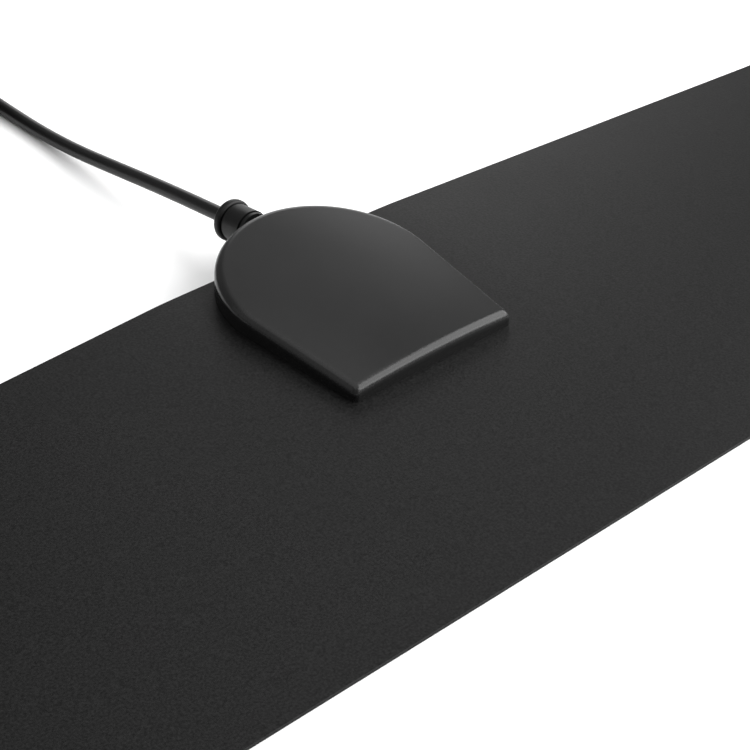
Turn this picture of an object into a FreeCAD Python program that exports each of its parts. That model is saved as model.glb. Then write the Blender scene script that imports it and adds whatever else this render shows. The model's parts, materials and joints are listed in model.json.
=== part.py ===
# Flat indoor television antenna: a drooping film strip, a wedge-shaped junction box and a coaxial lead
import FreeCAD, Part
import math
import os

V = FreeCAD.Vector
X_AXIS = V(1, 0, 0)
Z_AXIS = V(0, 0, 1)

# Film strip: one laminated sheet, with the receiving foil sealed inside it
FILM_LENGTH = 350.0
FILM_WIDTH = 100.0
FILM_CORNER = 4.0
FILM_THICKNESS = 0.7
# The box lifts the rear edge, and the film droops straight from there to both ends
FILM_LIFT = 7.0
FILM_FLAT_HALF = 26.0
FILM_BEND_RADIUS = 150.0

# Junction box, measured along the film; its rear stands out past the film's rear edge
BOX_OVERHANG = 6.2
BOX_LENGTH = 53.8
BOX_FRONT_WIDTH = 41.2
BOX_REAR_RADIUS = 23.4
BOX_CORNER = 1.2
COVER_FRONT_HEIGHT = 3.85
COVER_REAR_HEIGHT = 6.95
COVER_CROWN_RADIUS = 255.0
COVER_EDGE = 1.95
BASE_EDGE = 1.0
WALL = 1.4
FILM_EDGE_CLEARANCE = 0.2

# Pins of the cover, pressed through the film into sockets of the base
PIN_RADIUS = 1.4
PIN_CLEARANCE = 0.05
PIN_BOSS_RADIUS = 2.5
PIN_FRONT_X = 15.0
PIN_FRONT_SETBACK = 6.0
PIN_REAR_X = 16.0
PIN_REAR_SETBACK = 15.0
PIN_DEPTH_SHARE = 0.5
PIN_BOTTOM_GAP = 0.3

# Circuit board on two contact plates that meet the foil's bared ends, and what the board carries
CONTACT_WIDTH = 7.0
CONTACT_LENGTH = 9.0
CONTACT_THICKNESS = 0.15
BOARD_WIDTH = 22.0
BOARD_THICKNESS = 0.8
BOARD_FRONT_SETBACK = 9.0
BOARD_REAR_SETBACK = 10.0
RIVET_RADIUS = 1.0
RIVET_BORE_RADIUS = 0.55
RIVET_HEAD_RADIUS = 1.8
RIVET_HEAD_THICKNESS = 0.35
RIVET_X = 7.0
RIVET_SETBACK = 5.0
CORE_WIDTH = 5.0
CORE_LENGTH = 6.0
CORE_HEIGHT = 2.6
CORE_EDGE = 0.4
CORE_X = -5.5
CORE_SETBACK = 20.0
CORE_HOLE_RADIUS = 0.7
CORE_HOLE_SPACING = 2.4
WINDING_WIRE_RADIUS = 0.16
WINDING_TURNS = 3
WINDING_PITCH = 0.38
WINDING_OVERHANG = 0.25
CHIP_COUNT = 3
CHIP_LENGTH = 2.0
CHIP_WIDTH = 1.2
CHIP_HEIGHT = 0.8
CHIP_X = 5.5
CHIP_PITCH = 4.0
CHIP_SETBACK = 16.0
SOLDER_RADIUS = 0.85

# Cable exit: the axis crosses the rear wall above the film and points down a little
EXIT_HEIGHT = 2.75
EXIT_DROP_DEG = 9.0
COLLAR_NECK_RADIUS = 2.1
COLLAR_NECK_CLEARANCE = 0.05
COLLAR_INNER_RADIUS = 2.4
COLLAR_INNER_THICKNESS = 1.3
COLLAR_INNER_GAP = 0.8
COLLAR_WALL_GAP = 0.7
COLLAR_RING_RADIUS = 3.8
COLLAR_RING_THICKNESS = 0.9
COLLAR_GROOVE_RADIUS = 3.5
COLLAR_GROOVE_WIDTH = 0.4
COLLAR_BODY_RADIUS = 4.0
COLLAR_BODY_LENGTH = 5.0
COLLAR_FLANGE_RADIUS = 4.55
COLLAR_FLANGE_THICKNESS = 1.9
COLLAR_FLANGE_EDGE = 0.7

# Coaxial cable and its stripped end inside the box
CABLE_RADIUS = 1.65
CABLE_INSIDE = 5.5
CABLE_STRAIGHT = 19.4
BRAID_RADIUS = 1.15
BRAID_LENGTH = 2.6
DIELECTRIC_RADIUS = 0.8
DIELECTRIC_LENGTH = 5.0
CONDUCTOR_RADIUS = 0.3
PAD_REAR_SETBACK = 15.0
GROUND_PAD_X = 3.2
GROUND_START = 1.2

# Put-away coil: turns side by side and layer on layer, held by one strap
COIL_CENTRE_X = -23.0
COIL_CENTRE_Y = 176.8
COIL_MEAN_RADIUS = 19.8
COIL_COLUMNS = 4
COIL_LAYERS = 6
COIL_EDGE = 1.5
STRAP_THICKNESS = 0.6
STRAP_ANGLE_DEG = 300.0
STRAP_SPREAD_DEG = 14.0

# Push-on coaxial plug of 9.5 mm, lying on the coil along a line beside the coil's centre
PLUG_OFFSET_X = -18.0
PLUG_REAR_Y = 0.0
GRIP_LENGTH = 24.0
GRIP_RADIUS = 5.5
GRIP_REAR_RADIUS = 3.0
GRIP_TAPER_LENGTH = 8.0
GRIP_CHAMFER = 0.8
GRIP_GROOVE_COUNT = 5
GRIP_GROOVE_WIDTH = 1.0
GRIP_GROOVE_DEPTH = 0.5
GRIP_GROOVE_PITCH = 2.2
GRIP_GROOVE_START = 10.0
GRIP_CABLE_DEPTH = 6.0
SHELL_RADIUS = 4.75
SHELL_SEAT_RADIUS = 4.3
SHELL_THICKNESS = 0.5
SHELL_LENGTH = 9.5
SHELL_SEAT_DEPTH = 4.0
SHELL_SLIT_WIDTH = 0.7
SHELL_SLIT_LENGTH = 7.0
INSULATOR_LENGTH = 3.5
TIP_RADIUS = 1.2
TIP_RECESS = 0.5

# Long cutters reach this far past what they cut
REACH = 20.0

TILT = math.atan(FILM_LIFT / FILM_WIDTH)
FILM_TOP = FILM_THICKNESS * math.cos(TILT)
PARTING = FILM_TOP / 2
FILM_REAR = FILM_WIDTH / math.cos(TILT)
BOX_REAR = FILM_REAR + BOX_OVERHANG
BOX_FRONT = BOX_REAR - BOX_LENGTH
BOX_CENTRE = BOX_REAR - BOX_REAR_RADIUS
REAR_DEPTH = BOX_REAR * math.tan(TILT)
REAR_REACH = BOX_REAR * math.cos(TILT) + (REAR_DEPTH - BASE_EDGE) * math.sin(TILT)
FILM_FRONT_Y = -REAR_REACH / 2
BOARD_BOTTOM = FILM_TOP + CONTACT_THICKNESS
BOARD_TOP = BOARD_BOTTOM + BOARD_THICKNESS
BOARD_FRONT = BOX_FRONT + BOARD_FRONT_SETBACK
BOARD_LENGTH = BOX_LENGTH - BOARD_FRONT_SETBACK - BOARD_REAR_SETBACK
COIL_HALF_WIDTH = COIL_COLUMNS * CABLE_RADIUS
COIL_TOP = STRAP_THICKNESS + 2 * CABLE_RADIUS * COIL_LAYERS
SHELL_INNER_RADIUS = SHELL_RADIUS - SHELL_THICKNESS
SEAT_INNER_RADIUS = SHELL_SEAT_RADIUS - SHELL_THICKNESS

# The box is modelled flat, with y along the film and z square to it, then tilted with the film
BOX_FRAME = FreeCAD.Placement(V(0, FILM_FRONT_Y, 0), FreeCAD.Rotation(X_AXIS, math.degrees(TILT)))
# The collar is turned about z, with z pointing out of the box
COLLAR_FRAME = BOX_FRAME.multiply(
    FreeCAD.Placement(V(0, BOX_REAR, EXIT_HEIGHT), FreeCAD.Rotation(X_AXIS, -90 - EXIT_DROP_DEG))
)
# The plug is turned about z, with z pointing out of its tip
PLUG_FRAME = FreeCAD.Placement(
    V(COIL_CENTRE_X + PLUG_OFFSET_X, COIL_CENTRE_Y + PLUG_REAR_Y, COIL_TOP + GRIP_RADIUS),
    FreeCAD.Rotation(X_AXIS, 90),
)


def placed(shape, frame):
    return shape.transformed(frame.toMatrix(), True)


def polygon_face(points):
    return Part.Face(Part.makePolygon(points + [points[0]]))


def turned(points):
    """Solid of revolution about z from (radius, z) corners."""
    face = polygon_face([V(radius, 0, z) for radius, z in points])
    return face.revolve(V(0, 0, 0), Z_AXIS, 360)


def rounded_rim(shape, radius, edge_radius):
    """Round every circular edge of that radius."""
    edges = [
        edge
        for edge in shape.Edges
        if isinstance(edge.Curve, Part.Circle) and abs(edge.Curve.Radius - radius) < 1e-6
    ]
    return shape.makeFillet(edge_radius, edges)


def rod(start, end, radius):
    return Part.makeCylinder(radius, (end - start).Length, start, end - start)


# Film strip


def droop():
    """Angle of the straight droop, and where the bend meets it at the rear edge."""
    across = FILM_LENGTH / 2 - FILM_FLAT_HALF
    up = FILM_BEND_RADIUS - FILM_LIFT
    angle = math.atan2(across, up) - math.acos(FILM_BEND_RADIUS / math.hypot(across, up))
    x = FILM_FLAT_HALF + FILM_BEND_RADIUS * math.sin(angle)
    z = FILM_LIFT - FILM_BEND_RADIUS * (1 - math.cos(angle))
    return angle, x, z


def film_edge(y, lifted):
    """One long edge of the film, left to right: droop, bend, flat, bend, droop."""
    angle, bend_x, bend_z = droop()
    middle_x = FILM_FLAT_HALF + FILM_BEND_RADIUS * math.sin(angle / 2)
    middle_z = FILM_LIFT - FILM_BEND_RADIUS * (1 - math.cos(angle / 2))

    def point(x, z):
        return V(x, y, z if lifted else 0)

    def bend(side):
        near = point(side * FILM_FLAT_HALF, FILM_LIFT)
        middle = point(side * middle_x, middle_z)
        far = point(side * bend_x, bend_z)
        if not lifted:
            return Part.makeLine(near, far)
        return Part.Arc(near, middle, far).toShape()

    end = FILM_LENGTH / 2
    return [
        Part.makeLine(point(-end, 0), point(-bend_x, bend_z)),
        bend(-1),
        Part.makeLine(point(-FILM_FLAT_HALF, FILM_LIFT), point(FILM_FLAT_HALF, FILM_LIFT)),
        bend(1),
        Part.makeLine(point(bend_x, bend_z), point(end, 0)),
    ]


def antenna_film():
    """Ruled strips from the straight front edge to the bent rear edge, as one sheet with its holes."""
    strips = []
    front = film_edge(FILM_FRONT_Y, False)
    rear = film_edge(FILM_FRONT_Y + FILM_WIDTH, True)
    for front_edge, rear_edge in zip(front, rear):
        strips.append(Part.makeRuledSurface(front_edge, rear_edge).extrude(V(0, 0, FILM_THICKNESS)))
    sheet = strips[0].multiFuse(strips[1:])
    return sheet.common(film_plan()).cut(film_holes()).Solids[0]


def film_plan():
    """Upright block with the film's rounded outline."""
    block = Part.makeBox(
        FILM_LENGTH,
        FILM_WIDTH,
        FILM_LIFT + REACH,
        V(-FILM_LENGTH / 2, FILM_FRONT_Y, -REACH / 2),
    )
    upright = [edge for edge in block.Edges if edge.BoundBox.ZLength > REACH / 2]
    return block.makeFillet(FILM_CORNER, upright)


def film_holes():
    """What passes through the film: the cover's pins and the rivets."""
    cutters = [
        Part.makeCylinder(PIN_RADIUS + PIN_CLEARANCE, REACH, V(x, y, -REACH / 2))
        for x, y in pin_places()
    ]
    cutters += [rivet_hole(-1), rivet_hole(1)]
    return placed(Part.makeCompound(cutters), BOX_FRAME)


# Junction box


def side_normal_angle():
    """Direction of the outward normal of the box's straight right side."""
    across = BOX_FRONT_WIDTH / 2
    along = BOX_FRONT - BOX_CENTRE
    return math.atan2(along, across) + math.acos(BOX_REAR_RADIUS / math.hypot(across, along))


def box_outline(inset):
    """Plan of the box: straight front, tapered sides and a round rear that they are tangent to."""
    angle = side_normal_angle()
    normal_x = math.cos(angle)
    normal_y = math.sin(angle)
    radius = BOX_REAR_RADIUS - inset
    front_y = BOX_FRONT + inset
    front_x = (normal_y * (BOX_CENTRE - front_y) + radius) / normal_x
    front_left = V(-front_x, front_y, 0)
    front_right = V(front_x, front_y, 0)
    rear_left = V(-radius * normal_x, BOX_CENTRE + radius * normal_y, 0)
    rear_right = V(radius * normal_x, BOX_CENTRE + radius * normal_y, 0)
    edges = [
        Part.makeLine(front_left, front_right),
        Part.makeLine(front_right, rear_right),
        Part.Arc(rear_right, V(0, BOX_CENTRE + radius, 0), rear_left).toShape(),
        Part.makeLine(rear_left, front_left),
    ]
    return Part.Face(Part.Wire(edges))


def side_block(low_edge, high_edge):
    """Block across the whole box between two edges drawn in its side view."""
    low_front = low_edge.firstVertex().Point
    low_rear = low_edge.lastVertex().Point
    high_front = high_edge.firstVertex().Point
    high_rear = high_edge.lastVertex().Point
    outline = Part.Wire(
        [
            low_edge,
            Part.makeLine(low_rear, high_rear),
            high_edge,
            Part.makeLine(high_front, low_front),
        ]
    )
    half_width = V(BOX_FRONT_WIDTH + BOX_REAR_RADIUS, 0, 0)
    face = Part.Face(outline)
    face.translate(-half_width)
    return face.extrude(half_width * 2)


def level_edge(height):
    return Part.makeLine(V(0, BOX_FRONT - REACH, height), V(0, BOX_REAR + REACH, height))


def cover_block(inset):
    """Room under the cover's arched top, which rises straight to the rear, inset by a wall."""
    front = V(0, BOX_FRONT, FILM_TOP + COVER_FRONT_HEIGHT)
    rear = V(0, BOX_REAR, FILM_TOP + COVER_REAR_HEIGHT)
    along = (rear - front).normalize()
    foot = front - X_AXIS.cross(along) * COVER_CROWN_RADIUS - along * REACH
    arch = Part.makeCylinder(COVER_CROWN_RADIUS - inset, BOX_LENGTH + 2 * REACH, foot, along)
    # Half a turn takes the seam of the round face to its underside
    arch.rotate(foot, along, 180)
    prism = box_outline(inset).extrude(V(0, 0, COVER_REAR_HEIGHT + REACH))
    prism.translate(V(0, 0, PARTING))
    return prism.common(arch).Solids[0]


def base_block(inset):
    """Room above the base's underside, which is level once the box is tilted."""
    lift = inset / math.cos(TILT)
    bottom = Part.makeLine(
        V(0, BOX_FRONT - REACH, lift - (BOX_FRONT - REACH) * math.tan(TILT)),
        V(0, BOX_REAR + REACH, lift - (BOX_REAR + REACH) * math.tan(TILT)),
    )
    depth = (BOX_REAR + REACH) * math.tan(TILT)
    prism = box_outline(inset).extrude(V(0, 0, depth + PARTING))
    prism.translate(V(0, 0, -depth))
    return prism.common(side_block(bottom, level_edge(PARTING))).Solids[0]


def rounded_shell(block, direction, radius):
    """Round the edge of the face that lies furthest that way along z, and the two front corners."""
    end_face = max(block.Faces, key=lambda face: face.CenterOfMass.z * direction)
    upright = [edge for edge in block.Edges if abs(edge.tangentAt(edge.FirstParameter).z) > 0.999]
    corners = sorted(upright, key=lambda edge: edge.CenterOfMass.y)[:2]
    radii = []
    for number, edge in enumerate(block.Edges, start=1):
        if any(edge.isSame(other) for other in end_face.Edges):
            radii.append((number, radius, radius))
        elif any(edge.isSame(other) for other in corners):
            radii.append((number, BOX_CORNER, BOX_CORNER))
    document = FreeCAD.newDocument()
    base = document.addObject("Part::Feature", "base")
    base.Shape = block
    fillet = document.addObject("Part::Fillet", "fillet")
    fillet.Base = base
    fillet.Edges = radii
    document.recompute()
    rounded = fillet.Shape.Solids[0]
    FreeCAD.closeDocument(document.Name)
    return rounded


def film_slab():
    """The film's own room between the two shells."""
    width = 2 * (BOX_FRONT_WIDTH + BOX_REAR_RADIUS)
    length = FILM_REAR + FILM_EDGE_CLEARANCE
    return Part.makeBox(width, length, FILM_TOP, V(-width / 2, 0, 0))


def pin_places():
    front_y = BOX_FRONT + PIN_FRONT_SETBACK
    rear_y = BOX_REAR - PIN_REAR_SETBACK
    return [
        (side * x, y) for x, y in ((PIN_FRONT_X, front_y), (PIN_REAR_X, rear_y)) for side in (-1, 1)
    ]


def pin_depth(y):
    return PIN_DEPTH_SHARE * y * math.tan(TILT)


def exit_hole():
    """Round hole that both shells leave for the collar's neck, along the tilted exit."""
    hole = Part.makeCylinder(
        COLLAR_NECK_RADIUS + COLLAR_NECK_CLEARANCE, REACH / 2, V(0, 0, -REACH / 4)
    )
    return placed(hole, BOX_FRAME.inverse().multiply(COLLAR_FRAME))


def housing_cover():
    solid = rounded_shell(cover_block(0), 1, COVER_EDGE)
    cover = solid.cut([cover_block(WALL), film_slab()])
    boss_room = cover_block(WALL / 2)
    for x, y in pin_places():
        boss = Part.makeCylinder(PIN_BOSS_RADIUS, REACH, V(x, y, FILM_TOP)).common(boss_room)
        depth = pin_depth(y)
        pin = Part.makeCylinder(PIN_RADIUS, depth + FILM_TOP, V(x, y, -depth))
        cover = cover.fuse([boss, pin])
    cover = cover.cut(exit_hole()).removeSplitter()
    return placed(cover, BOX_FRAME)


def housing_base():
    solid = rounded_shell(base_block(0), -1, BASE_EDGE)
    base = solid.cut([base_block(WALL), film_slab()])
    boss_room = base_block(WALL / 2)
    for x, y in pin_places():
        boss = Part.makeCylinder(PIN_BOSS_RADIUS, REACH, V(x, y, -REACH)).common(boss_room)
        depth = pin_depth(y) + PIN_BOTTOM_GAP
        socket = Part.makeCylinder(PIN_RADIUS + PIN_CLEARANCE, depth + REACH, V(x, y, -depth))
        base = base.fuse(boss).cut(socket)
    base = base.cut(exit_hole()).removeSplitter()
    return placed(base, BOX_FRAME)


# Circuit board and what it carries


def rivet_y():
    return BOARD_FRONT + RIVET_SETBACK


def rivet_hole(side):
    return Part.makeCylinder(RIVET_RADIUS, REACH, V(side * RIVET_X, rivet_y(), -REACH / 2))


def feed_contact(side):
    """Thin plate on the foil's bared end, clamped under the board by the rivet."""
    corner = V(side * RIVET_X - CONTACT_WIDTH / 2, rivet_y() - CONTACT_LENGTH / 2, FILM_TOP)
    plate = Part.makeBox(CONTACT_WIDTH, CONTACT_LENGTH, CONTACT_THICKNESS, corner)
    return placed(plate.cut(rivet_hole(side)), BOX_FRAME)


def circuit_board():
    corner = V(-BOARD_WIDTH / 2, BOARD_FRONT, BOARD_BOTTOM)
    board = Part.makeBox(BOARD_WIDTH, BOARD_LENGTH, BOARD_THICKNESS, corner)
    return placed(board.cut([rivet_hole(-1), rivet_hole(1)]), BOX_FRAME)


def feed_rivet(side):
    """Tubular rivet through board, contact plate and film."""
    top = BOARD_TOP
    rivet = turned(
        [
            (RIVET_BORE_RADIUS, -RIVET_HEAD_THICKNESS),
            (RIVET_HEAD_RADIUS, -RIVET_HEAD_THICKNESS),
            (RIVET_HEAD_RADIUS, 0),
            (RIVET_RADIUS, 0),
            (RIVET_RADIUS, top),
            (RIVET_HEAD_RADIUS, top),
            (RIVET_HEAD_RADIUS, top + RIVET_HEAD_THICKNESS),
            (RIVET_BORE_RADIUS, top + RIVET_HEAD_THICKNESS),
        ]
    )
    rivet.translate(V(side * RIVET_X, rivet_y(), 0))
    return placed(rivet, BOX_FRAME)


def core_centre():
    return V(CORE_X, BOARD_FRONT + CORE_SETBACK, BOARD_TOP + CORE_HEIGHT / 2)


def balun_core():
    """Two-hole ferrite core."""
    centre = core_centre()
    half = V(CORE_WIDTH, CORE_LENGTH, CORE_HEIGHT) / 2
    core = Part.makeBox(CORE_WIDTH, CORE_LENGTH, CORE_HEIGHT, centre - half)
    long_edges = [edge for edge in core.Edges if edge.BoundBox.YLength > CORE_LENGTH / 2]
    core = core.makeFillet(CORE_EDGE, long_edges)
    for side in (-1, 1):
        start = centre + V(side * CORE_HOLE_SPACING / 2, -CORE_LENGTH, 0)
        core = core.cut(Part.makeCylinder(CORE_HOLE_RADIUS, 2 * CORE_LENGTH, start, V(0, 1, 0)))
    return placed(core, BOX_FRAME)


def balun_winding():
    """Turns of enamelled wire, each through both holes of the core."""
    half_length = CORE_LENGTH / 2 + WINDING_OVERHANG
    half_spacing = CORE_HOLE_SPACING / 2
    turns = []
    for index in range(WINDING_TURNS):
        lift = (index - (WINDING_TURNS - 1) / 2) * WINDING_PITCH
        centre = core_centre() + V(0, 0, lift)
        pieces = []
        for side in (-1, 1):
            start = centre + V(side * half_spacing, -half_length, 0)
            pieces.append(
                Part.makeCylinder(WINDING_WIRE_RADIUS, 2 * half_length, start, V(0, 1, 0))
            )
            bend = Part.makeTorus(
                half_spacing, WINDING_WIRE_RADIUS, V(0, 0, 0), Z_AXIS, -180, 180, 180
            )
            bend.rotate(V(0, 0, 0), Z_AXIS, 0 if side > 0 else 180)
            bend.translate(centre + V(0, side * half_length, 0))
            pieces.append(bend)
        turns.append(pieces[0].multiFuse(pieces[1:]))
    return placed(Part.makeCompound(turns), BOX_FRAME)


def chip_capacitors():
    chips = []
    for index in range(CHIP_COUNT):
        y = BOARD_FRONT + CHIP_SETBACK + index * CHIP_PITCH
        corner = V(CHIP_X - CHIP_LENGTH / 2, y - CHIP_WIDTH / 2, BOARD_TOP)
        chips.append(Part.makeBox(CHIP_LENGTH, CHIP_WIDTH, CHIP_HEIGHT, corner))
    return placed(Part.makeCompound(chips), BOX_FRAME)


# Collar, cable and the stripped end of the cable


def collar_steps():
    """Where the ring, the body and the flange start and end along the collar, out of the rear wall."""
    ring_end = COLLAR_WALL_GAP + COLLAR_RING_THICKNESS
    body_start = ring_end + COLLAR_GROOVE_WIDTH
    body_end = body_start + COLLAR_BODY_LENGTH
    flange_start = body_end + COLLAR_GROOVE_WIDTH
    flange_end = flange_start + COLLAR_FLANGE_THICKNESS
    return COLLAR_WALL_GAP, ring_end, body_start, body_end, flange_start, flange_end


def strain_relief():
    """Moulded collar: flange inside, neck in the wall, ring, body and rounded outer flange."""
    neck_start = -WALL - COLLAR_INNER_GAP
    ring_start, ring_end, body_start, body_end, flange_start, flange_end = collar_steps()
    collar = turned(
        [
            (CABLE_RADIUS, neck_start - COLLAR_INNER_THICKNESS),
            (COLLAR_INNER_RADIUS, neck_start - COLLAR_INNER_THICKNESS),
            (COLLAR_INNER_RADIUS, neck_start),
            (COLLAR_NECK_RADIUS, neck_start),
            (COLLAR_NECK_RADIUS, ring_start),
            (COLLAR_RING_RADIUS, ring_start),
            (COLLAR_RING_RADIUS, ring_end),
            (COLLAR_GROOVE_RADIUS, ring_end),
            (COLLAR_GROOVE_RADIUS, body_start),
            (COLLAR_BODY_RADIUS, body_start),
            (COLLAR_BODY_RADIUS, body_end),
            (COLLAR_GROOVE_RADIUS, body_end),
            (COLLAR_GROOVE_RADIUS, flange_start),
            (COLLAR_FLANGE_RADIUS, flange_start),
            (COLLAR_FLANGE_RADIUS, flange_end),
            (CABLE_RADIUS, flange_end),
        ]
    )
    return placed(rounded_rim(collar, COLLAR_FLANGE_RADIUS, COLLAR_FLANGE_EDGE), COLLAR_FRAME)


def cable_run_points():
    """From inside the box, out of the collar, down to the table and along it to the coil."""
    return [
        COLLAR_FRAME.multVec(V(0, 0, -CABLE_INSIDE)),
        COLLAR_FRAME.multVec(V(0, 0, CABLE_STRAIGHT)),
        V(0.1, 87.2, 6.85),
        V(0.3, 104.7, 4.55),
        V(0.5, 120.7, 2.55),
        V(0.8, 135.2, 1.70),
        V(1.2, 148.2, 1.65),
        V(1.5, 159.2, 1.75),
        V(1.7, 169.2, 2.10),
    ]


def cable_lead_points():
    """Along the top of the coil and into the plug, from the coil's centre."""
    top = COIL_TOP + CABLE_RADIUS
    axis = COIL_TOP + GRIP_RADIUS
    offsets = [
        V(20.6, -5.2, top),
        V(20.6, 5.2, top),
        V(15.4, 14.1, top + 0.1),
        V(6.5, 19.3, top + 0.6),
        V(-3.9, 19.3, top + 1.6),
        V(-12.8, 14.1, top + 2.9),
        V(PLUG_OFFSET_X, 5.2, axis),
        V(PLUG_OFFSET_X, PLUG_REAR_Y - GRIP_CABLE_DEPTH, axis),
    ]
    centre = V(COIL_CENTRE_X, COIL_CENTRE_Y, 0)
    return [centre + offset for offset in offsets]


def cable_tube(name, points):
    """Tube along straight runs joined by the largest tangent arcs that they allow."""
    edges = []
    radii = []
    start = points[0]
    for before, corner, after in zip(points, points[1:], points[2:]):
        inward = (before - corner).normalize()
        outward = (after - corner).normalize()
        setback = 0.45 * min((before - corner).Length, (after - corner).Length)
        half_turn = (math.pi - inward.getAngle(outward)) / 2
        radius = setback / math.tan(half_turn)
        middle = corner + (inward + outward).normalize() * radius * (1 / math.cos(half_turn) - 1)
        arc_start = corner + inward * setback
        arc_end = corner + outward * setback
        edges.append(Part.makeLine(start, arc_start))
        edges.append(Part.Arc(arc_start, middle, arc_end).toShape())
        radii.append(round(radius, 1))
        start = arc_end
    edges.append(Part.makeLine(start, points[-1]))
    path = Part.Wire(edges)
    ring = Part.Wire(Part.makeCircle(CABLE_RADIUS, points[0], points[1] - points[0]))
    tube = path.makePipeShell([ring], True, False)
    share = tube.Volume / (math.pi * CABLE_RADIUS**2 * path.Length)
    print(name, "length", round(path.Length, 1), "bend radii", radii, "volume share", round(share, 4))
    return tube


def coax_tail():
    """Stripped end of the cable, from the jacket's end down to its pad on the board."""
    start = BOX_FRAME.inverse().multVec(cable_run_points()[0])
    pad = V(0, BOX_REAR - PAD_REAR_SETBACK, BOARD_TOP + CONDUCTOR_RADIUS)
    along = (pad - start).normalize()
    jacket = placed(Part.makeCylinder(CABLE_RADIUS, REACH, V(0, 0, -CABLE_INSIDE)), COLLAR_FRAME)
    conductor = rod(start, pad, CONDUCTOR_RADIUS)
    dielectric = rod(start, start + along * DIELECTRIC_LENGTH, DIELECTRIC_RADIUS)
    braid = rod(start, start + along * BRAID_LENGTH, BRAID_RADIUS)
    ground_start = start + along * GROUND_START + V(BRAID_RADIUS + CONDUCTOR_RADIUS, 0, 0)
    ground_pad = V(GROUND_PAD_X, pad.y, pad.z)
    ground = rod(ground_start, ground_pad, CONDUCTOR_RADIUS)
    domes = []
    for x in (0, GROUND_PAD_X):
        foot = V(x, pad.y, BOARD_TOP)
        domes.append(Part.makeSphere(SOLDER_RADIUS, foot, Z_AXIS, 0, 90, 360))
    solder = Part.makeCompound([dome.cut([conductor, ground]) for dome in domes])
    pieces = {
        "coax_conductor": conductor,
        "coax_dielectric": dielectric.cut(conductor),
        "coax_braid": braid.cut(dielectric),
        "ground_wire": ground.cut(braid),
        "solder_joints": solder,
    }
    return {name: placed(piece, BOX_FRAME).cut(jacket) for name, piece in pieces.items()}


# Coil, strap and plug


def coil_section(margin):
    """Section of the wound turns with cut corners and a margin all round, in a plane through the axis."""
    inner = COIL_MEAN_RADIUS - COIL_HALF_WIDTH - margin
    outer = COIL_MEAN_RADIUS + COIL_HALF_WIDTH + margin
    low = STRAP_THICKNESS - margin
    high = COIL_TOP + margin
    cut = COIL_EDGE + margin * (2 - math.sqrt(2))
    corners = [
        (inner + cut, low),
        (outer - cut, low),
        (outer, low + cut),
        (outer, high - cut),
        (outer - cut, high),
        (inner + cut, high),
        (inner, high - cut),
        (inner, low + cut),
    ]
    return polygon_face([V(radius, 0, z) for radius, z in corners])


def wound(section, start_deg, sweep_deg):
    section = section.copy()
    section.rotate(V(0, 0, 0), Z_AXIS, start_deg)
    solid = section.revolve(V(0, 0, 0), Z_AXIS, sweep_deg)
    solid.translate(V(COIL_CENTRE_X, COIL_CENTRE_Y, 0))
    return solid


def cable_coil():
    return wound(coil_section(0), 0, 360)


def cable_tie():
    """Strap round the coil's section, over a short stretch of the coil."""
    strap = coil_section(STRAP_THICKNESS).cut(coil_section(0)).Faces[0]
    return wound(strap, STRAP_ANGLE_DEG - STRAP_SPREAD_DEG / 2, STRAP_SPREAD_DEG)


def plug_grip():
    """Moulded grip with a tapered rear, grip grooves and a socket for the metal shell."""
    grip = turned(
        [
            (CABLE_RADIUS, 0),
            (GRIP_REAR_RADIUS, 0),
            (GRIP_RADIUS, GRIP_TAPER_LENGTH),
            (GRIP_RADIUS, GRIP_LENGTH - GRIP_CHAMFER),
            (GRIP_RADIUS - GRIP_CHAMFER / 2, GRIP_LENGTH),
            (SHELL_SEAT_RADIUS, GRIP_LENGTH),
            (SHELL_SEAT_RADIUS, GRIP_LENGTH - SHELL_SEAT_DEPTH),
            (0, GRIP_LENGTH - SHELL_SEAT_DEPTH),
            (0, GRIP_CABLE_DEPTH),
            (CABLE_RADIUS, GRIP_CABLE_DEPTH),
        ]
    )
    groove_floor = GRIP_RADIUS - GRIP_GROOVE_DEPTH
    for index in range(GRIP_GROOVE_COUNT):
        z = GRIP_GROOVE_START + index * GRIP_GROOVE_PITCH
        groove = turned(
            [
                (groove_floor, z),
                (GRIP_RADIUS + GRIP_GROOVE_DEPTH, z),
                (GRIP_RADIUS + GRIP_GROOVE_DEPTH, z + GRIP_GROOVE_WIDTH),
                (groove_floor, z + GRIP_GROOVE_WIDTH),
            ]
        )
        grip = grip.cut(groove)
    return placed(grip, PLUG_FRAME)


def plug_shell():
    """Outer contact: a thin sleeve, necked where the grip holds it, with two spring slits."""
    back = GRIP_LENGTH - SHELL_SEAT_DEPTH
    front = GRIP_LENGTH + SHELL_LENGTH
    step = GRIP_LENGTH + SHELL_THICKNESS
    sleeve = turned(
        [
            (SEAT_INNER_RADIUS, back),
            (SHELL_SEAT_RADIUS, back),
            (SHELL_SEAT_RADIUS, GRIP_LENGTH),
            (SHELL_RADIUS, GRIP_LENGTH),
            (SHELL_RADIUS, front),
            (SHELL_INNER_RADIUS, front),
            (SHELL_INNER_RADIUS, step),
            (SEAT_INNER_RADIUS, step),
        ]
    )
    slit = Part.makeBox(
        SHELL_SLIT_WIDTH,
        2 * REACH,
        SHELL_SLIT_LENGTH,
        V(-SHELL_SLIT_WIDTH / 2, -REACH, front - SHELL_SLIT_LENGTH),
    )
    return placed(sleeve.cut(slit), PLUG_FRAME)


def plug_insulator():
    back = GRIP_LENGTH - SHELL_SEAT_DEPTH
    disc = turned(
        [
            (TIP_RADIUS, back),
            (SEAT_INNER_RADIUS, back),
            (SEAT_INNER_RADIUS, back + INSULATOR_LENGTH),
            (TIP_RADIUS, back + INSULATOR_LENGTH),
        ]
    )
    return placed(disc, PLUG_FRAME)


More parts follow.
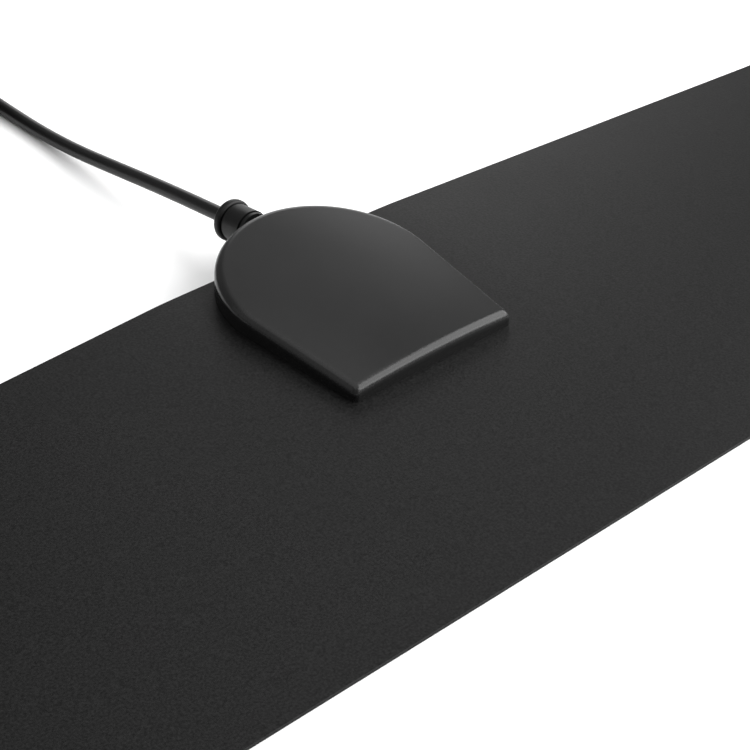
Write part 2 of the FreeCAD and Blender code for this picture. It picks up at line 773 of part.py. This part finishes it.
def plug_pin():
    """Centre contact with a round nose."""
    back = GRIP_LENGTH - SHELL_SEAT_DEPTH
    nose = GRIP_LENGTH + SHELL_LENGTH - TIP_RECESS - TIP_RADIUS
    pin = Part.makeCylinder(TIP_RADIUS, nose - back, V(0, 0, back))
    pin = pin.fuse(Part.makeSphere(TIP_RADIUS, V(0, 0, nose))).removeSplitter()
    return placed(pin, PLUG_FRAME)


def all_pieces():
    coil = cable_coil()
    pieces = {"antenna_film": antenna_film()}
    pieces["housing_cover"] = housing_cover()
    pieces["housing_base"] = housing_base()
    pieces["feed_contact_left"] = feed_contact(-1)
    pieces["feed_contact_right"] = feed_contact(1)
    pieces["circuit_board"] = circuit_board()
    pieces["feed_rivet_left"] = feed_rivet(-1)
    pieces["feed_rivet_right"] = feed_rivet(1)
    pieces["balun_core"] = balun_core()
    pieces["balun_winding"] = balun_winding()
    pieces["chip_capacitors"] = chip_capacitors()
    pieces["strain_relief"] = strain_relief()
    pieces.update(coax_tail())
    pieces["cable_run"] = cable_tube("cable_run", cable_run_points()).cut(coil)
    pieces["cable_coil"] = coil
    pieces["cable_tie"] = cable_tie()
    pieces["cable_lead"] = cable_tube("cable_lead", cable_lead_points())
    pieces["plug_grip"] = plug_grip()
    pieces["plug_shell"] = plug_shell()
    pieces["plug_insulator"] = plug_insulator()
    pieces["plug_pin"] = plug_pin()
    return pieces


os.makedirs("parts", exist_ok=True)
for node, shape in all_pieces().items():
    shape.exportStep("parts/" + node + ".step")
    print(node, "solids", len(shape.Solids), "volume", round(shape.Volume, 2), "valid", shape.isValid())
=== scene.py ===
import json
import math

import bpy
from mathutils import Matrix, Vector


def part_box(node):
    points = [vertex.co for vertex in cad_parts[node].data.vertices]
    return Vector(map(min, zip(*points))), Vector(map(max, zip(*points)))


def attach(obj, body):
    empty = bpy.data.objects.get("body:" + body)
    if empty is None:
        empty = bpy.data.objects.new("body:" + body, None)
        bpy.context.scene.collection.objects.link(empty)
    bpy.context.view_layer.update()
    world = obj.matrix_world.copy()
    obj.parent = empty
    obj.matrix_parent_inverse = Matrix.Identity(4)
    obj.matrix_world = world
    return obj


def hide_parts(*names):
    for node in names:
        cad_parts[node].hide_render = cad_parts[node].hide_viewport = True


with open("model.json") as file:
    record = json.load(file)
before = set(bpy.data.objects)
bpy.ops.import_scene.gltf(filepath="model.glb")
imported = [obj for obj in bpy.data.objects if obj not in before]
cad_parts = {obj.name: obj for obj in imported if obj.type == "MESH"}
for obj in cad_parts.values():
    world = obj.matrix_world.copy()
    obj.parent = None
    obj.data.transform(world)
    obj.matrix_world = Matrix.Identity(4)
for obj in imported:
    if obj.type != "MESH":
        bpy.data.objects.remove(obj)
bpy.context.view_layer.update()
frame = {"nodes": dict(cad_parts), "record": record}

# Camera: where the photo was taken from, in the row frame, in metres and radians
CAMERA_PLACE = Vector((-0.21586, -0.22154, 0.21104))
CAMERA_YAW = 0.7368
CAMERA_PITCH = 0.5967
CAMERA_ROLL = 0.0035
CAMERA_LENS = 93.1
CAMERA_SENSOR = 36.0
CAMERA_NEAR = 0.01

# Film and box, in metres, as in the part's source
FILM_LIFT = 0.007
FILM_WIDTH = 0.100
BOX_OVERHANG = 0.0062
EXIT_HEIGHT = 0.00275
EXIT_DROP = math.radians(9.0)

# Cable: its radius leaves a hair between the turns, which lie one diameter apart
CABLE_DIAMETER = 0.0033
CABLE_DRAWN_RADIUS = 0.00163
CABLE_INSIDE = 0.0055
CABLE_STRAIGHT = 0.0194
CABLE_RUN = [
    (0.0001, 0.0872, 0.00685),
    (0.0003, 0.1047, 0.00455),
    (0.0005, 0.1207, 0.00255),
    (0.0008, 0.1352, 0.00170),
    (0.0012, 0.1482, 0.00165),
    (0.0015, 0.1592, 0.00175),
    (0.0017, 0.1692, 0.00210),
]
STEPS_ALONG_CABLE = 6
STEPS_ROUND_CABLE = 5

# Coil: turns side by side in layers, wound in and out in turn
COIL_CENTRE = Vector((-0.023, 0.1768, 0.0))
COIL_MEAN_RADIUS = 0.0198
COIL_COLUMNS = 4
COIL_LAYERS = 6
COIL_FLOOR = 0.0006
COIL_STEP_DEG = 20
COIL_SHIFT_DEG = 60
LAST_LAYER_SHIFTS = 2
LAST_TURN_END_DEG = 320

# Lead from the top of the coil into the plug, measured from the coil's centre
COIL_TOP = COIL_FLOOR + COIL_LAYERS * CABLE_DIAMETER
LEAD_Z = COIL_TOP + CABLE_DIAMETER / 2
PLUG_Z = COIL_TOP + 0.0055
PLUG_X = -0.018
CABLE_LEAD = [
    (0.0206, -0.0052, LEAD_Z),
    (0.0206, 0.0052, LEAD_Z),
    (0.0154, 0.0141, LEAD_Z + 0.0001),
    (0.0065, 0.0193, LEAD_Z + 0.0006),
    (-0.0039, 0.0193, LEAD_Z + 0.0016),
    (-0.0128, 0.0141, LEAD_Z + 0.0029),
    (PLUG_X, 0.0052, PLUG_Z),
    (PLUG_X, -0.0060, PLUG_Z),
]

# Surfaces: a noise lies mostly between these values, and roughness varies over patches of many grains
NOISE_LOW = 0.3
NOISE_HIGH = 0.7
GRAINS_PER_PATCH = 40
GRAIN_RELIEF = 0.3
WEAVE_RELIEF = 0.6
WEAVE_ROUGHNESS = 0.7
WAVE_SCALE_PER_METRE = 0.314

# Floor and light: the floor lies a hair below the part, and the lights stand round the origin
FLOOR_HALF = 3.0
FLOOR_DROP = 0.0001
FLOOR_WHITE = 0.93
FLOOR_ROUGHNESS = 0.8
FLOOR_SPECULAR = 0.1
SURROUND_BRIGHTNESS = 0.30
LIGHT_DISTANCE = 1.2


# Materials

def new_material(name):
    material = bpy.data.materials.new(name)
    material.use_nodes = True
    return material, material.node_tree.nodes, material.node_tree.links


def noise(nodes, links, coordinates, size, detail):
    """Noise with grains of about that size in metres."""
    texture = nodes.new("ShaderNodeTexNoise")
    texture.inputs["Scale"].default_value = 1 / size
    texture.inputs["Detail"].default_value = detail
    links.new(coordinates, texture.inputs["Vector"])
    return texture.outputs["Fac"]


def spread(nodes, links, value, low, high):
    """The middle of a noise, stretched to run from low to high."""
    stretch = nodes.new("ShaderNodeMapRange")
    stretch.inputs["From Min"].default_value = NOISE_LOW
    stretch.inputs["From Max"].default_value = NOISE_HIGH
    stretch.inputs["To Min"].default_value = low
    stretch.inputs["To Max"].default_value = high
    links.new(value, stretch.inputs["Value"])
    return stretch.outputs["Result"]


def mixed_colour(nodes, links, value, first, second):
    mix = nodes.new("ShaderNodeMix")
    mix.data_type = "RGBA"
    mix.inputs["A"].default_value = (*first, 1.0)
    mix.inputs["B"].default_value = (*second, 1.0)
    links.new(value, mix.inputs["Factor"])
    return mix.outputs["Result"]


def bump(nodes, links, value, depth, strength):
    relief = nodes.new("ShaderNodeBump")
    relief.inputs["Distance"].default_value = depth
    relief.inputs["Strength"].default_value = strength
    links.new(value, relief.inputs["Height"])
    return relief.outputs["Normal"]


def grained(name, dark, light, roughness, grain, depth, uneven=0.05, metallic=0.0, specular=0.5):
    """A surface with a fine grain of that size in metres: colour and relief follow it."""
    material, nodes, links = new_material(name)
    shader = nodes["Principled BSDF"]
    shader.inputs["Metallic"].default_value = metallic
    shader.inputs["Specular IOR Level"].default_value = specular
    place = nodes.new("ShaderNodeTexCoord").outputs["Object"]
    fine = noise(nodes, links, place, grain, detail=2.0)
    broad = noise(nodes, links, place, GRAINS_PER_PATCH * grain, detail=3.0)
    colour = mixed_colour(nodes, links, spread(nodes, links, fine, 0.0, 1.0), dark, light)
    links.new(colour, shader.inputs["Base Color"])
    varied = spread(nodes, links, broad, roughness - uneven, roughness + uneven)
    links.new(varied, shader.inputs["Roughness"])
    links.new(bump(nodes, links, fine, depth, GRAIN_RELIEF), shader.inputs["Normal"])
    return material


def woven(name, dark, light, pitch, depth):
    """Crossed threads of that pitch in metres."""
    material, nodes, links = new_material(name)
    shader = nodes["Principled BSDF"]
    shader.inputs["Roughness"].default_value = WEAVE_ROUGHNESS
    place = nodes.new("ShaderNodeTexCoord").outputs["Object"]
    threads = []
    for direction in ("X", "Z"):
        wave = nodes.new("ShaderNodeTexWave")
        wave.bands_direction = direction
        wave.inputs["Scale"].default_value = WAVE_SCALE_PER_METRE / pitch
        links.new(place, wave.inputs["Vector"])
        threads.append(wave.outputs["Fac"])
    crossed = nodes.new("ShaderNodeMath")
    crossed.operation = "MULTIPLY"
    links.new(threads[0], crossed.inputs[0])
    links.new(threads[1], crossed.inputs[1])
    weave = crossed.outputs["Value"]
    links.new(mixed_colour(nodes, links, weave, dark, light), shader.inputs["Base Color"])
    links.new(bump(nodes, links, weave, depth, WEAVE_RELIEF), shader.inputs["Normal"])
    return material


def grey(level):
    return (level, level, level)


# Looks by slot: colours of the grain's hollows and tops, then the finish, with sizes in metres
GRAINED_LOOKS = {
    "film_black": {
        "dark": grey(0.001), "light": grey(0.010), "roughness": 0.42, "uneven": 0.01,
        "grain": 0.00045, "depth": 0.00006, "specular": 0.135,
    },
    "housing_black": {
        "dark": grey(0.007), "light": grey(0.011), "roughness": 0.25, "uneven": 0.02,
        "grain": 0.00045, "depth": 0.00004, "specular": 0.28,
    },
    "rubber_black": {
        "dark": grey(0.002), "light": grey(0.005), "roughness": 0.42,
        "grain": 0.0004, "depth": 0.00003, "specular": 0.22,
    },
    "cable_black": {
        "dark": grey(0.003), "light": grey(0.006), "roughness": 0.38,
        "grain": 0.0005, "depth": 0.00003, "specular": 0.25,
    },
    "plug_black": {
        "dark": grey(0.004), "light": grey(0.008), "roughness": 0.4,
        "grain": 0.0004, "depth": 0.00003, "specular": 0.28,
    },
    "foil": {
        "dark": (0.70, 0.70, 0.71), "light": (0.82, 0.82, 0.83), "roughness": 0.25,
        "grain": 0.0004, "depth": 0.00001, "metallic": 1.0,
    },
    "board_green": {
        "dark": (0.02, 0.14, 0.06), "light": (0.03, 0.18, 0.08), "roughness": 0.3,
        "grain": 0.0008, "depth": 0.00002,
    },
    "tinned_metal": {
        "dark": grey(0.55), "light": grey(0.72), "roughness": 0.3,
        "grain": 0.0003, "depth": 0.00001, "metallic": 1.0,
    },
    "ferrite": {
        "dark": (0.03, 0.03, 0.033), "light": (0.06, 0.06, 0.065), "roughness": 0.6,
        "grain": 0.0002, "depth": 0.00002,
    },
    "copper": {
        "dark": (0.60, 0.26, 0.12), "light": (0.75, 0.36, 0.18), "roughness": 0.28,
        "grain": 0.0003, "depth": 0.00001, "metallic": 1.0,
    },
    "chip_ceramic": {
        "dark": (0.34, 0.24, 0.15), "light": (0.42, 0.30, 0.20), "roughness": 0.5,
        "grain": 0.0003, "depth": 0.00001,
    },
    "nickel": {
        "dark": (0.66, 0.65, 0.62), "light": (0.76, 0.75, 0.72), "roughness": 0.2,
        "grain": 0.0004, "depth": 0.000005, "metallic": 1.0,
    },
    "white_plastic": {
        "dark": (0.74, 0.74, 0.70), "light": (0.82, 0.82, 0.78), "roughness": 0.45,
        "grain": 0.0005, "depth": 0.00001,
    },
}
MATERIALS = {name: grained(name, **look) for name, look in GRAINED_LOOKS.items()}
MATERIALS["strap_black"] = woven(
    "strap_black", dark=grey(0.004), light=grey(0.020), pitch=0.0006, depth=0.0001
)


def dress(obj, slot_name):
    obj.data.materials.clear()
    obj.data.materials.append(MATERIALS[slot_name])


for subpart in frame["record"]["subparts"]:
    dress(frame["nodes"][subpart["node"]], subpart["material_slot"])


# Cable

def collar_point(distance):
    """Point on the collar's axis, that far out of the box's rear wall."""
    tilt = math.atan2(FILM_LIFT, FILM_WIDTH)
    along = FILM_WIDTH / math.cos(tilt) + BOX_OVERHANG
    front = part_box("antenna_film")[0].y
    wall = Vector(
        (
            0.0,
            front + along * math.cos(tilt) - EXIT_HEIGHT * math.sin(tilt),
            along * math.sin(tilt) + EXIT_HEIGHT * math.cos(tilt),
        )
    )
    drop = EXIT_DROP - tilt
    return wall + distance * Vector((0.0, math.cos(drop), -math.sin(drop)))


def smooth(share):
    return share * share * (3 - 2 * share)


def next_angle(angle, zone):
    """First angle from here on that lies at the start of the zone, counted over all the turns."""
    return angle + (zone - angle) % 360


def coil_stages():
    """(angle, column, layer) where the winding starts and stops moving to its next column or layer."""
    angle, column, layer = 0, 0, 0
    stages = [(angle, column, layer)]
    for index in range(COIL_LAYERS):
        inward = 1 if index % 2 == 0 else -1
        last = index == COIL_LAYERS - 1
        shift_zone = -COIL_SHIFT_DEG - 2 * COIL_SHIFT_DEG * index
        for shift in range(LAST_LAYER_SHIFTS if last else COIL_COLUMNS - 1):
            start = next_angle(angle, shift_zone)
            stages.append((start, column, layer))
            angle = start + COIL_SHIFT_DEG
            column += inward
            stages.append((angle, column, layer))
        if last:
            stages.append((next_angle(angle, LAST_TURN_END_DEG), column, layer))
        else:
            start = next_angle(angle, shift_zone - COIL_SHIFT_DEG)
            stages.append((start, column, layer))
            angle = start + COIL_SHIFT_DEG
            layer += 1
            stages.append((angle, column, layer))
    return stages


def coil_points():
    """Control points of the wound turns, set out so that the curve itself has the turns' radius."""
    outer = COIL_MEAN_RADIUS + (COIL_COLUMNS - 1) * CABLE_DIAMETER / 2
    swell = 1 / math.cos(math.radians(COIL_STEP_DEG) / 2)
    points = []
    stages = coil_stages()
    for (start, column, layer), (end, next_column, next_layer) in zip(stages, stages[1:]):
        for angle in range(start, end, COIL_STEP_DEG):
            share = smooth((angle - start) / (end - start))
            at_column = column + share * (next_column - column)
            at_layer = layer + share * (next_layer - layer)
            radius = swell * (outer - at_column * CABLE_DIAMETER)
            height = COIL_FLOOR + (at_layer + 0.5) * CABLE_DIAMETER
            turn = math.radians(angle)
            points.append(
                COIL_CENTRE + Vector((radius * math.cos(turn), radius * math.sin(turn), height))
            )
    return points


def cable_points():
    points = [collar_point(-CABLE_INSIDE), collar_point(CABLE_STRAIGHT)]
    points += [Vector(point) for point in CABLE_RUN]
    points += coil_points()
    points += [COIL_CENTRE + Vector(point) for point in CABLE_LEAD]
    return points


def cable_curve():
    curve = bpy.data.curves.new("cable", "CURVE")
    curve.dimensions = "3D"
    curve.resolution_u = STEPS_ALONG_CABLE
    curve.bevel_depth = CABLE_DRAWN_RADIUS
    curve.bevel_resolution = STEPS_ROUND_CABLE
    curve.use_fill_caps = True
    spline = curve.splines.new("NURBS")
    points = cable_points()
    spline.points.add(len(points) - 1)
    for control, point in zip(spline.points, points):
        control.co = (*point, 1.0)
    spline.order_u = 3
    spline.use_endpoint_u = True
    cable = bpy.data.objects.new("cable", curve)
    bpy.context.collection.objects.link(cable)
    return cable


cable = cable_curve()
dress(cable, "cable_black")
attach(cable, "root")
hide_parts("cable_run", "cable_coil", "cable_lead")


# Floor, light and camera

def pale_floor():
    mesh = bpy.data.meshes.new("floor")
    corners = [
        (-FLOOR_HALF, -FLOOR_HALF, 0.0),
        (FLOOR_HALF, -FLOOR_HALF, 0.0),
        (FLOOR_HALF, FLOOR_HALF, 0.0),
        (-FLOOR_HALF, FLOOR_HALF, 0.0),
    ]
    mesh.from_pydata(corners, [], [(0, 1, 2, 3)])
    floor = bpy.data.objects.new("floor", mesh)
    bpy.context.collection.objects.link(floor)
    floor.location.z = -FLOOR_DROP
    material, nodes, _ = new_material("floor_white")
    shader = nodes["Principled BSDF"]
    shader.inputs["Base Color"].default_value = (*grey(FLOOR_WHITE), 1.0)
    shader.inputs["Roughness"].default_value = FLOOR_ROUGHNESS
    shader.inputs["Specular IOR Level"].default_value = FLOOR_SPECULAR
    mesh.materials.append(material)


def softbox(name, azimuth, elevation, width, height, brightness):
    """Soft light that faces the object from that direction in degrees, with that surface brightness."""
    data = bpy.data.lights.new(name, "AREA")
    data.shape = "RECTANGLE"
    data.size = width
    data.size_y = height
    data.energy = brightness * math.pi * width * height
    light = bpy.data.objects.new(name, data)
    turn = math.radians(azimuth)
    lift = math.radians(elevation)
    towards = Vector(
        (math.cos(lift) * math.cos(turn), math.cos(lift) * math.sin(turn), math.sin(lift))
    )
    light.location = LIGHT_DISTANCE * towards
    light.rotation_euler = (-towards).to_track_quat("-Z", "Y").to_euler()
    bpy.context.collection.objects.link(light)


def studio_light():
    """White surround, a large light from the front right, and weaker ones for the sheen on the black."""
    world = bpy.data.worlds.new("studio")
    world.use_nodes = True
    background = world.node_tree.nodes["Background"]
    background.inputs["Color"].default_value = (1.0, 1.0, 1.0, 1.0)
    background.inputs["Strength"].default_value = SURROUND_BRIGHTNESS
    bpy.context.scene.world = world
    softbox("softbox_top", azimuth=0, elevation=90, width=1.5, height=1.5, brightness=1.2)
    softbox("softbox_right", azimuth=-32, elevation=38, width=1.68, height=0.96, brightness=5.6)
    softbox("softbox_low", azimuth=-50, elevation=18, width=1.4, height=0.4, brightness=2.0)
    softbox("softbox_rear", azimuth=50, elevation=20, width=0.55, height=0.68, brightness=1.75)
    softbox("softbox_left", azimuth=150, elevation=30, width=0.8, height=0.8, brightness=0.4)


def photo_camera():
    data = bpy.data.cameras.new("camera")
    data.sensor_width = CAMERA_SENSOR
    data.lens = CAMERA_LENS
    data.clip_start = CAMERA_NEAR
    camera = bpy.data.objects.new("camera", data)
    forward = Vector(
        (
            math.sin(CAMERA_YAW) * math.cos(CAMERA_PITCH),
            math.cos(CAMERA_YAW) * math.cos(CAMERA_PITCH),
            -math.sin(CAMERA_PITCH),
        )
    )
    level = Vector((math.cos(CAMERA_YAW), -math.sin(CAMERA_YAW), 0.0))
    upward = level.cross(forward)
    right = math.cos(CAMERA_ROLL) * level + math.sin(CAMERA_ROLL) * upward
    above = -math.sin(CAMERA_ROLL) * level + math.cos(CAMERA_ROLL) * upward
    turn = Matrix((right, above, -forward)).transposed().to_4x4()
    camera.matrix_world = Matrix.Translation(CAMERA_PLACE) @ turn
    bpy.context.collection.objects.link(camera)
    bpy.context.scene.camera = camera


pale_floor()
studio_light()
photo_camera()
bpy.context.scene.view_settings.view_transform = "Standard"

bpy.context.view_layer.update()
